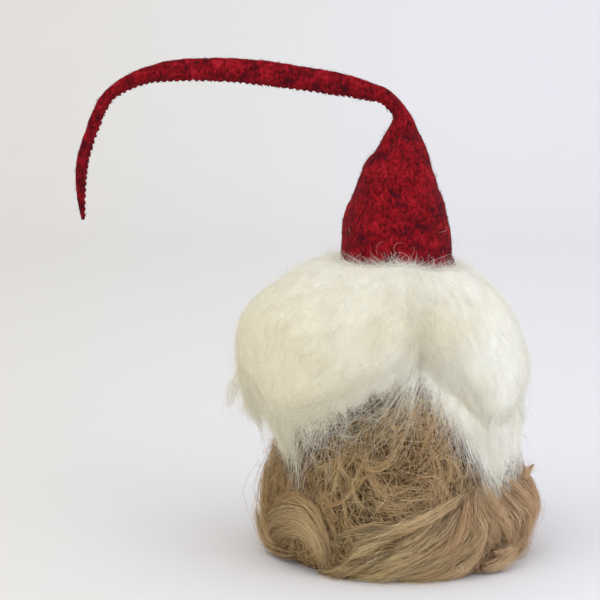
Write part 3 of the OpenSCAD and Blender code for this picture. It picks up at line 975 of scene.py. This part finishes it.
def on_mane(angle, t, out):
    """Points on the mane at an angle in degrees and a place t down it, a distance outside its outline."""
    widest = round_table(MANE_R, angle) * MM
    hem = round_table(MANE_HEM, angle) * MM
    wide_z = round_table(MANE_WIDE, angle) * MM
    crown = round_table(MANE_CROWN, angle) * MM
    slump = round_table(MANE_SLUMP, angle)
    neck = BRIM_R + 0.8 * MM
    rise = np.clip(t / RIM, 0, 1)
    over = np.clip((t - RIM) / (TUCK - RIM), 0, 1) * np.pi / 2
    fall = np.clip((t - TUCK) / (1 - TUCK), 0, 1)
    past = np.maximum(t - 1, 0) * FREE_HANG
    r = np.where(t < RIM, neck - 5 * MM * (1 - rise), neck + (widest - neck) * np.sin(over) ** 1.05)
    shoulder_z = wide_z + (crown - wide_z) * np.cos(over) ** slump
    z = np.where(t < RIM, crown - 9 * MM * (1 - ease(rise, 0, 1)), shoulder_z)
    r = r - round_table(MANE_DRAWN_IN, angle) * MM * fall**1.5 - 0.25 * past
    z = z - (wide_z - hem) * fall - past
    across = np.cos(over) * (t >= RIM)
    r, z = r + out * (1 - 0.7 * across), z + out * across
    clear = (5.5 - 3 * ease(t, 1.0, 1.2)) * MM
    r = np.where(t > TUCK, np.maximum(r, fleece_radius(z) + clear), r)
    return polar(np.radians(angle), r, z)


def mane_scale(angle, t):
    """How many metres of the mane go by for each unit of t."""
    across = round_table(MANE_R, angle) * MM - BRIM_R
    wide_z = round_table(MANE_WIDE, angle) * MM
    arc = 1.15 * np.hypot(across, round_table(MANE_CROWN, angle) * MM - wide_z) / (TUCK - RIM)
    drop = np.maximum(wide_z - round_table(MANE_HEM, angle) * MM, 4 * MM) / (1 - TUCK)
    return np.where(t < TUCK, arc, np.where(t < 1, drop, FREE_HANG))


def mane_lump(angle, t):
    """How far the mane stands proud of its plain outline: soft swells, and faint streaks down its length."""
    base = on_mane(angle, t, 0)
    streak = np.stack([np.radians(angle) * 66 / 9, t * 2.5, 0 * t], -1)
    grow = ease(t, 0.1, 0.6)
    swells = 2.2 * smooth_noise(base, 24 * MM, 11) * ease(t, 0.06, 0.3)
    swells += 0.5 * smooth_noise(base, 9 * MM, 12) * grow
    collar = 1.8 * np.exp(-(((t - 0.14) / 0.06) ** 2))
    return (swells + collar + 0.4 * smooth_noise(streak, 1.0, 13) * grow) * MM


def mane_core():
    """The solid part of the wool: a closed skirt, thick at the shoulder and thin and ragged at the hem."""
    columns, outer, inner = 540, 96, 30
    share = np.concatenate([np.linspace(0, 1, outer), np.linspace(1, 0.05, inner)])[:, None]
    angle = np.linspace(0, 360, columns, endpoint=False)[None] + np.zeros((outer + inner, 1))
    hem = on_mane(angle[0], 1 + 0 * angle[0], 0)
    end = 0.94 + 0.06 * smooth_noise(hem, 4 * MM, 14) + 0.06 * smooth_noise(hem, 11 * MM, 15)
    t = share * end
    depth = -1.2 * MM - 1.2 * MM * ease(share, 0.8, 1) + 0 * t
    depth[outer:] -= 0.3 * MM + 7 * MM * (end - t[outer:])
    points = on_mane(angle, t, mane_lump(angle, t) + depth)
    faces = grid_faces(len(t), columns, wrap_rows=True)
    obj = mesh_object("mane_wool", points, faces)
    obj.data.materials.append(wool)
    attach(obj, "figure")
    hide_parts("mane_front_left", "mane_front_right", "mane_left", "mane_right", "mane_back_left",
                "mane_back_right")


def mane_paths(angle, t, length, steps, lift, wander, curl, lean=0.0, start_out=-0.6, frizz=0.1):
    """Fine fibres that run down the mane, each curling a little; lift is how far the tips stand off, and
    start_out how far outside the mane the roots are, in mm."""
    count = len(angle)
    heading = lean + random.normal(0, wander, count)
    bend = random.normal(0, curl, count)
    phase = random.uniform(0, 6.28, count)
    proud = lift * np.minimum(random.gamma(2, 0.5, count), 2.2)
    paths = np.empty((count, steps, 3))
    stride = length / (steps - 1)
    for s in range(steps):
        share = s / (steps - 1)
        out = mane_lump(angle, np.clip(t, 0, 1)) + start_out * MM + proud * share
        out += 0.3 * MM * np.sin(phase + 1.4 * s)
        paths[:, s] = on_mane(angle, t, out)
        heading += bend * 0.3 + random.normal(0, frizz, count) - 0.08 * (heading - lean)
        angle = angle + np.degrees(stride * np.sin(heading) / (60 * MM))
        scale = mane_scale(angle, t)
        ahead = t + stride * np.cos(heading) / scale
        t = np.clip(np.where((t < 1) & (ahead > 1), 1 + (ahead - 1) * scale / FREE_HANG, ahead), 0, 1.5)
    return paths


# Wisps that hang clear of the mane: (half width, [(angle, radius, height), ...]) in mm and degrees.
WISPS = [
    (3.6, [(-171, 77, 98), (-176, 81, 88), (-178, 84, 80), (-179, 86, 73)]),
    (7.0, [(-160, 77, 94), (-165, 76, 83), (-168, 73, 75), (-170, 69, 67)]),
    (4.0, [(-143, 75, 84), (-145, 72, 73), (-147, 67, 62), (-148, 63, 53)]),
    (6.5, [(-46, 66, 80), (-43, 65, 67), (-40, 63, 56), (-37, 60, 46)]),
    (3.2, [(-63, 63, 87), (-58, 64, 77), (-50, 63, 67), (-43, 61, 57)]),
    (7.0, [(20, 67, 84), (24, 66, 72), (26, 63, 60), (27, 60, 51)]),
    (7.5, [(74, 70, 86), (76, 69, 74), (78, 66, 62), (78, 62, 54)]),
    (7.5, [(118, 74, 86), (116, 72, 72), (115, 68, 60), (115, 63, 51)]),
    (6.0, [(148, 77, 92), (152, 75, 82), (156, 71, 74), (158, 68, 66)]),
]


def wisps():
    steps = 8
    paths = []
    for half, places in WISPS:
        angle, radius, z = columns_of(places)
        guide = polar(np.radians(angle), radius, z) * MM
        fibres = int(24 * half)
        paths.append(lock_paths(guide, half * MM, fibres, loose=1.3, flat=0.8, steps=steps, frizz=0.45)[0])
    paths = np.concatenate(paths)
    wool_coat("mane_wisps", paths, 0.05 * MM, limit=4200)


def mane_fibres():
    """A soft nap all over, a halo that stands off it, and a frizzy fringe with small tufts past the hem."""
    nap = 25000
    angle = all_round(nap)
    t = random.uniform(0.0, 1.0, nap) ** 0.85
    length = random.uniform(5, 12, nap) * MM
    paths = mane_paths(angle, t, length, 5, 1.2 * MM, 0.6, 0.9)
    wool_coat("mane_nap", paths, 0.06 * MM, limit=6800)
    halo = 6500
    angle = all_round(halo)
    t = random.uniform(0.02, 1.0, halo)
    length = random.uniform(4, 10, halo) * MM
    paths = mane_paths(angle, t, length, 6, 4.2 * MM, 1.0, 1.6, frizz=0.3)
    wool_coat("mane_halo", paths, 0.032 * MM, limit=6600)
    fringe = 6500
    angle = all_round(fringe)
    t = random.uniform(0.7, 1.0, fringe)
    length = random.gamma(3, 2.6, fringe) * MM
    length = length * (1 - 0.4 * np.exp(-(((angle + 70) / 14) ** 2)))
    paths = mane_paths(angle, t, length, 8, 2.2 * MM, 1.0, 2.0, start_out=-0.8, frizz=0.5)
    wool_coat("mane_fringe", paths, 0.06 * MM, limit=4600)
    tufts, each = 320, 13
    angle = all_round(tufts)
    length = random.uniform(6, 14, tufts) * MM
    t = random.uniform(0.86, 1.0, tufts)
    guides = mane_paths(angle, t, length, 7, 1.4 * MM, 0.6, 1.2, start_out=-0.8)
    paths = bunched(guides, each, 1.0 * MM, root=1.5, tip=0.3, steps_apart=0.5)
    wool_coat("mane_tufts", paths, 0.055 * MM, limit=4400)


# Where veils of white hang over the brown: (share of the fibres, middle angle, spread, lean), the angles in
# degrees and the lean in radians.
VEILS = [
    (0.5, -58, 10, -0.25), (0.08, -76, 7, -0.15), (0.2, -20, 16, 0.0), (0.08, -128, 12, -0.2),
    (0.14, 90, 60, 0.0),
]


def veils():
    """Long thin hairs from the hem down over the body."""
    count, steps = 5400, 10
    for number, (share, middle, spread, lean) in enumerate(VEILS):
        fibres = int(count * share)
        angle = random.normal(middle, spread, fibres)
        t = random.uniform(0.8, 1.0, fibres)
        length = random.gamma(5.5, 5, fibres) * MM
        paths = mane_paths(angle, t, length, steps, 0.8 * MM, 0.35, 0.7, lean, start_out=-1.6, frizz=0.22)
        wool_coat(f"mane_veil_{number + 1}", paths, 0.05 * MM)


def brim_fluff():
    """Short wool that climbs over the brim and hides its edge."""
    count, steps = 2600, 6
    angle = all_round(count)
    crown = round_table(MANE_CROWN, angle) * MM
    a = np.radians(angle)
    root = BRIM_R + random.uniform(0.3, 2.6, count) * MM
    start = polar(a, root, crown - random.uniform(0, 1.6, count) * MM)
    way = polar(a, 1, 0)
    around = np.stack([-np.sin(a), np.cos(a), 0 * a], 1)
    up = np.array([0, 0, 1.0])
    long = random.gamma(2.5, 1.2, count)[:, None, None] * MM
    t = np.linspace(0, 1, steps)[None, :, None]
    swing = random.normal(0, 1.3, (count, 1, 1))
    inward = random.uniform(-0.2, 0.9, (count, 1, 1))
    paths = start[:, None] + long * (
        t * (up + swing * around[:, None]) + inward * t**2 * way[:, None]
        + 0.25 * np.sin(5 * t + random.uniform(0, 6, (count, 1, 1))) * around[:, None])
    reach = np.hypot(paths[..., 0], paths[..., 1])
    clear = np.maximum(reach, BRIM_R + 0.3 * MM - 0.08 * np.maximum(paths[..., 2] - BRIM_Z, 0)) / reach
    paths[..., :2] *= clear[..., None]
    wool_coat("brim_fluff", paths, 0.05 * MM)


# ---------------------------------------------------------------- the hat
# The hat's centre line from brim to tip: (x, z, half width in the picture's plane, half depth), in mm.
# From the crook on, the points keep to the CAD tail's own.
CONE_LINE = [
    (0.7, 142.5, 28.8, 28.2), (-0.2, 149, 27.3, 27.8), (-0.5, 159, 27.0, 27.0), (-1.1, 169, 25.8, 25.6),
    (-0.8, 175, 23.6, 24.0), (-0.8, 182, 20.6, 21.4), (-0.3, 191, 18.0, 18.8), (0.8, 200, 14.4, 15.2),
    (1.1, 209, 10.6, 10.8), (1.3, 216, 6.5, 6.8),
]
TAIL_LINE = [
    (0.3, 221.6, 3.9, 4.4), (-3.1, 226.5, 3.8, 3.6), (-8.8, 231, 4.1, 3.2), (-20, 234.3, 4.9, 3.0),
    (-32, 237, 5.6, 3.0), (-58, 241, 6.0, 3.0), (-84, 243.5, 5.8, 3.0), (-108, 243.5, 5.2, 3.0),
    (-128, 240, 3.8, 2.9), (-144, 230, 3.0, 2.6), (-152, 214, 3.0, 2.6), (-157, 198, 2.9, 2.5),
    (-158, 184, 2.4, 2.2), (-157, 169, 0.9, 0.8),
]
HAT_SIDES = 72
STITCH_PITCH = 3.2 * MM


def hat_rings():
    """The hat's felt as rings of points from brim to tip, the way out at each point, and each ring's length
    from the brim."""
    line = np.array(CONE_LINE + TAIL_LINE) * MM
    fine = curve_through(line, 2400)
    length = np.concatenate([[0], np.cumsum(np.linalg.norm(np.diff(fine[:, :2], axis=0), axis=1))])
    rings = 560
    even = np.linspace(0, length[-1], rings)
    x, z, wide, deep = (np.interp(even, length, fine[:, k]) for k in range(4))
    centre = np.stack([x, 0 * x, z], 1)
    along = unit(np.gradient(centre, axis=0))
    outer = np.stack([along[:, 2], 0 * x, -along[:, 0]], 1)
    turn = np.linspace(0, 2 * np.pi, HAT_SIDES, endpoint=False)[None] + np.zeros((rings, 1))
    cone_top = even[np.argmax(z > CROOK_FELT[0].z)]
    tail = ease(even, cone_top, cone_top + 26 * MM)[:, None]
    pinch = 1 - 0.45 * tail * ease(-np.cos(turn), 0.2, 1)
    a = wide[:, None] * np.cos(turn)
    b = deep[:, None] * np.sin(turn) * pinch
    under = ease(-np.cos(turn), 0.75, 1)
    scallop = 0.32 * MM * np.cos(2 * np.pi * even / STITCH_PITCH)[:, None] * tail * under
    a = a - scallop
    y = np.array([0, 1, 0])
    points = centre[:, None] + outer[:, None] * a[..., None] + y * b[..., None]
    out_wide = outer[:, None] * (np.cos(turn) / wide[:, None])[..., None]
    out_deep = y * (np.sin(turn) / deep[:, None])[..., None]
    way = unit(out_wide + out_deep)
    cone = 1 - tail
    swell = (1.5 * smooth_noise(points, 19 * MM, 21) * cone
             + 0.7 * smooth_noise(points, 8 * MM, 22) * (0.45 + 0.55 * cone)
             + 0.22 * smooth_noise(points, 2.6 * MM, 23)) * MM
    swell *= np.minimum(1, wide[:, None] / (3.5 * MM))
    points = points + way * (swell - crease(points))[..., None]
    return points, way, even


# The cloth run: the pressure inside, how much smaller the cone starts, the furthest a point may move, its
# frames, and how much larger than life it is run.
PRESSURE = 200
SHRINK = 1.0 * MM
SWELL_LIMIT = 3 * MM
CLOTH_FRAMES = 20
CLOTH_SCALE = 10


def stuffed(points, way, top):
    """The cone's felt as its stuffing fills it. A coarse copy of the rings up to top starts a little small
    and is run as cloth under pressure, held at the brim, at the crook and along the fold. The fine rings
    follow it, less and less towards the brim and the crook."""
    rows, columns = 36, HAT_SIDES // 2
    picked = np.linspace(0, top, rows).round().astype(int)
    middle = np.sin(np.pi * np.linspace(0, 1, rows))[:, None, None]
    coarse = points[picked][:, ::2]
    start = coarse - way[picked][:, ::2] * SHRINK * middle
    trial = mesh_object("felt_under_pressure", start * CLOTH_SCALE, grid_faces(rows, columns))
    held = trial.vertex_groups.new(name="held")
    at = np.arange(rows * columns)
    fixed = (at < 2 * columns) | (at >= (rows - 3) * columns) | (crease(coarse).ravel() > 0.8 * MM)
    held.add([int(i) for i in at[fixed]], 1.0, "REPLACE")
    cloth = trial.modifiers.new("cloth", "CLOTH").settings
    cloth.vertex_group_mass = "held"
    cloth.use_pressure = True
    cloth.uniform_pressure_force = PRESSURE
    cloth.effector_weights.gravity = 0
    for number in range(1, CLOTH_FRAMES + 1):
        bpy.context.scene.frame_set(number)
    after = trial.evaluated_get(bpy.context.evaluated_depsgraph_get()).data
    swollen = np.empty(rows * columns * 3, np.float32)
    after.vertices.foreach_get("co", swollen)
    bpy.context.scene.frame_set(1)
    bpy.data.objects.remove(trial)
    move = swollen.reshape(rows, columns, 3) / CLOTH_SCALE - start
    size = np.linalg.norm(move, axis=-1, keepdims=True)
    move = move * np.minimum(1, SWELL_LIMIT / np.maximum(size, 1e-9)) + start - coarse
    up = np.linspace(0, 1, rows)[:, None, None]
    move = move * ease(up, 0, 0.2) * (1 - ease(up, 0.55, 0.95))
    ring = np.interp(np.arange(top + 1), picked, np.arange(rows))
    low = np.minimum(ring.astype(int), rows - 2)
    share = (ring - low)[:, None, None]
    move = move[low] * (1 - share) + move[low + 1] * share
    points = points.copy()
    points[:top + 1, 0::2] += move
    points[:top + 1, 1::2] += (move + np.roll(move, -1, axis=1)) / 2
    return points


def crease(points):
    """Depth of the fold that runs from the inside of the crook down the cone's left front."""
    top = np.array([1.0, -6.5, 221]) * MM
    low = np.array([-20.0, -15.0, 178]) * MM
    way = low - top
    share = np.clip(((points - top) @ way) / (way @ way), 0, 1)
    away = np.linalg.norm(points - top - share[..., None] * way, axis=-1)
    depth = 2.2 * MM * (1 - ease(share, 0.45, 1.0)) * ease(share, 0.05, 0.3)
    return depth * np.exp(-((away / (2.6 * MM)) ** 2))


def stretch_ends(points):
    """The rings where each piece of felt ends and the next begins, from the brim to the tip."""
    height = points[:, :, 2].mean(1)
    reach = points[:, :, 0].mean(1)
    crook = int(np.argmax(height > CROOK_FELT[1].z - 3 * MM))
    first = int(np.argmax(reach < (JOINT["mid_bend"].x + CROOK.x) / 2))
    second = int(np.argmax(reach < (JOINT["mid_bend"].x + JOINT["tip_bend"].x) / 2))
    return [0, crook, first, second, len(points) - 1]


# How many rings the felt is turned in by at the brim, and its thickness there.
TURNED_IN = 26
FELT_THICK = 2.6 * MM


def hat_felt():
    """The felt in four pieces, split between the bends, so that every bend is within a piece."""
    points, way, length = hat_rings()
    ends = stretch_ends(points)
    points = stuffed(points, way, int(np.argmax(points[:, :, 2].mean(1) > CROOK_FELT[0].z)))
    parts = [points[low:high + 1] for low, high in zip(ends, ends[1:])]
    inner = points[:TURNED_IN][::-1] - way[:TURNED_IN][::-1] * FELT_THICK
    parts[0] = np.concatenate([inner, parts[0]])
    made = {}
    for name, part in zip(BENDS, parts):
        faces = [grid_faces(len(part), HAT_SIDES)[:, ::-1]]
        vertices = part.reshape(-1, 3)
        if name == "tail_felt_tip":
            last = (len(part) - 1) * HAT_SIDES
            around = last + np.arange(HAT_SIDES)
            vertices = np.concatenate([vertices, part[-1].mean(0, keepdims=True)])
            point = np.full(HAT_SIDES, len(vertices) - 1)
            faces.append(np.stack([around, np.roll(around, -1), point], 1)[:, ::-1])
        obj = mesh_object(name, vertices, faces)
        obj.data.materials.append(felt)
        made[name] = obj
    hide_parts("hat_cone", "crook_felt")
    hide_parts("tail_inner_felt")
    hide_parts("tail_middle_felt")
    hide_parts("tail_tip_felt")
    for name, obj in made.items():
        bend_with(obj)
    return points, way, length


# Where each piece of felt bends: the bodies before and after, and the places where the bend starts and ends.
BENDS = {
    "hat_cone_felt": ("figure", "crook", Vector((0, 0, CROOK_FELT[0].z - 12 * MM)),
                      Vector((0, 0, CROOK_FELT[0].z + 2 * MM))),
    "tail_felt_inner": ("crook", "tail_inner", CROOK + Vector((5, 0, -4)) * MM,
                        CROOK + Vector((-8, 0, 4.5)) * MM),
    "tail_felt_middle": ("tail_inner", "tail_middle", JOINT["mid_bend"] + Vector((9, 0, 0)) * MM,
                         JOINT["mid_bend"] + Vector((-9, 0, 0)) * MM),
    "tail_felt_tip": ("tail_middle", "tail_tip", JOINT["tip_bend"] + Vector((5.5, 0, 5.5)) * MM,
                      JOINT["tip_bend"] + Vector((-5.5, 0, -5.5)) * MM),
}


def bend_with(obj):
    """Bakes obj's placement into its mesh."""
    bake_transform(obj)


def hat_fuzz(points, way, length):
    """Short fibres that stand off the felt, in the same four stretches."""
    ends = stretch_ends(points)
    steps, for_each_mm2 = 4, 0.7
    for name, low, high in zip(BENDS, ends, ends[1:]):
        girth = np.linalg.norm(points - np.roll(points, 1, axis=1), axis=-1).sum(1)[low:high]
        area = float((girth * (length[1] - length[0])).sum()) / MM**2
        count = int(area * for_each_mm2)
        ring = low + random.choice(high - low, count, p=girth / girth.sum())
        column = random.integers(0, HAT_SIDES, count)
        blend = random.uniform(0, 1, (count, 1))
        root = points[ring, column] * (1 - blend) + points[ring, (column + 1) % HAT_SIDES] * blend
        out = way[ring, column]
        tangent = unit(np.cross(out, random.normal(size=(count, 3))))
        long = random.uniform(0.8, 2.8, count)[:, None] * MM
        rise = random.uniform(0.05, 0.4, (count, 1))
        bend = unit(np.cross(out, tangent)) * random.normal(0, 0.5, (count, 1))
        t = np.linspace(0, 1, steps)[None, :, None]
        paths = (root - out * 0.15 * MM)[:, None] + long[:, None] * (
            tangent[:, None] * t + out[:, None] * rise[:, None] * np.sin(np.pi * 0.7 * t)
            + bend[:, None] * t**2 * 0.6)
        radii = taper(count, steps, 0.045 * MM)
        label = name.replace("felt", "fuzz")
        for piece in coat(label, paths, radii, random.uniform(0, 1, count), fuzz, body=None, limit=8000):
            bend_with(piece)


def off_cone(z):
    """A radius just outside the cone's felt, above the brim."""
    return BRIM_R * (1 - 0.06 * ease(z, BRIM_Z, BRIM_Z + 25 * MM)) + 0.9 * MM


def stray_hairs():
    """Pale wool hairs that cling to the hat above the brim, most of them in front."""
    count, steps = 56, 12
    in_front = random.uniform(0, 1, count) < 0.6
    angle = np.radians(np.where(in_front, random.normal(-75, 30, count), all_round(count)))
    z = BRIM_Z + random.exponential(6, count) * MM
    r = off_cone(z)
    heading = random.uniform(0, 2 * np.pi, count)
    curl = random.normal(0, 0.35, count)
    paths = np.empty((count, steps, 3))
    stride = random.uniform(0.5, 1.6, count) * MM
    lift = random.uniform(0.2, 1.6, count) * MM
    for s in range(steps):
        paths[:, s] = polar(angle, r + lift * np.sin(s * 0.5), z)
        heading = heading + curl
        angle = angle + stride * np.cos(heading) / r
        z = np.maximum(z + stride * np.sin(heading), BRIM_Z)
        r = off_cone(z)
    wool_coat("stray_hairs", paths, 0.03 * MM)


body_core()
body_fleece()
body_strands()
skirt()
mane_core()
mane_fibres()
veils()
wisps()
brim_fluff()
hat_fuzz(*hat_felt())
stray_hairs()
